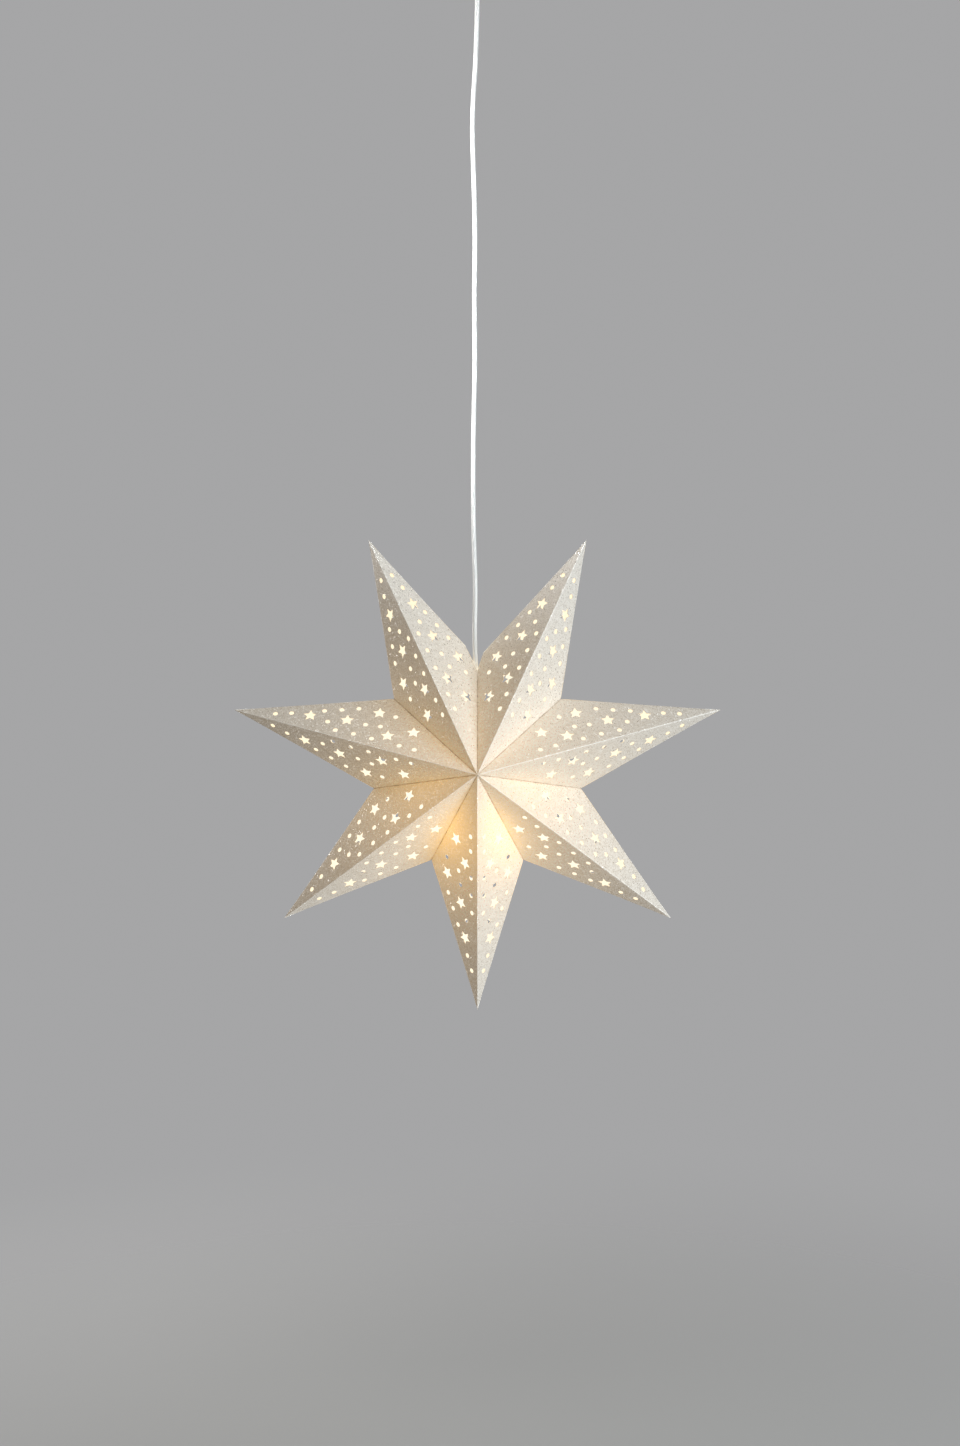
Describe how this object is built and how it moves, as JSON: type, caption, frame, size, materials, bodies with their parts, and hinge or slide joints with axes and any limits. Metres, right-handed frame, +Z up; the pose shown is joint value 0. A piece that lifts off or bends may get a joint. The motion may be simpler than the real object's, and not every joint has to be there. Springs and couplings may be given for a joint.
{
  "type": "moravian star pendant lamp",
  "caption": "Folded and punched paper star lamp lit from inside, hung by a wire bail and lamp holder on a white cord from a ceiling canopy.",
  "frame": {"origin": "on the ceiling, at the middle of the ceiling plate's upper face", "axes": "+Z up, along the cord; the star faces -Y and its lowest point hangs along -Z; +X to the right seen from the front"},
  "size_m": [0.585, 0.2, 1.32],
  "materials": {
    "star_paper": "white card with a fine glittering speckle",
    "eyelet_brass": "satin",
    "bail_steel": "bright drawn spring wire",
    "holder_plastic": "smooth white",
    "insert_ceramic": "unglazed white",
    "contact_brass": "satin",
    "screw_steel": "zinc plated",
    "bulb_frosted_glass": "frosted",
    "bulb_cap_metal": "bright pressed sheet",
    "bulb_insulator_glass": "black glass",
    "stem_glass": "clear",
    "filament_wire": "bright wire",
    "cord_pvc": "smooth white PVC",
    "core_brown": "brown and blue core insulation",
    "canopy_plastic": "smooth white",
    "grommet_rubber": "soft white",
    "plate_steel": "zinc plated",
    "hanger_nylon": "natural nylon"
  },
  "bodies": {
    "ceiling_fitting": {"ceiling_plate": "plate_steel", "ceiling_hook": "plate_steel", "cord_hanger": "hanger_nylon", "hanger_screw": "screw_steel", "terminal_block": "hanger_nylon", "terminal_tubes": "contact_brass", "terminal_screws": "screw_steel", "ceiling_cores": "core_brown", "cord_lead": "cord_pvc"},
    "canopy": {"canopy_cup": "canopy_plastic", "canopy_grommet": "grommet_rubber"},
    "hanging_cord": {"cord": "cord_pvc"},
    "lamp_holder": {"socket_cap": "holder_plastic", "socket_shell": "holder_plastic", "socket_insert": "insert_ceramic", "screw_shell": "contact_brass", "centre_contact": "contact_brass", "socket_terminals": "contact_brass", "socket_terminal_screws": "screw_steel", "cord_grip_screw": "screw_steel", "cord_tail": "cord_pvc", "holder_cores": "core_brown", "wire_bail": "bail_steel"},
    "paper_star": {"star_point_1": "star_paper", "star_point_2": "star_paper", "star_point_3": "star_paper", "star_point_4": "star_paper", "star_point_5": "star_paper", "star_point_6": "star_paper", "star_point_7": "star_paper", "star_eyelets": "eyelet_brass", "closing_fasteners": "eyelet_brass"},
    "bulb": {"bulb_glass": "bulb_frosted_glass", "bulb_cap": "bulb_cap_metal", "bulb_insulator": "bulb_insulator_glass", "bulb_contact": "screw_steel", "bulb_stem": "stem_glass", "bulb_filament": "filament_wire"}
  },
  "joints": [
    {"name": "canopy_slide", "type": "slide", "parent": "ceiling_fitting", "child": "canopy", "axis": [0, 0, -1], "range_m": [0, 0.05]},
    {"name": "pendant_swing", "type": "hinge", "parent": "ceiling_fitting", "child": "hanging_cord", "pos_m": [0, 0, -0.1153], "axis": [0, 1, 0], "range_deg": [-10, 10]},
    {"name": "star_swivel", "type": "hinge", "parent": "hanging_cord", "child": "lamp_holder", "pos_m": [0, 0, -0.978], "axis": [0, 0, 1], "range_deg": [-90, 90]},
    {"name": "star_tilt", "type": "hinge", "parent": "lamp_holder", "child": "paper_star", "pos_m": [0, 0, -0.92412], "axis": [0, 1, 0], "range_deg": [-3, 3]},
    {"name": "bulb_unscrew", "type": "slide", "parent": "lamp_holder", "child": "bulb", "axis": [0, 0, -1], "range_m": [0, 0.03]}
  ]
}
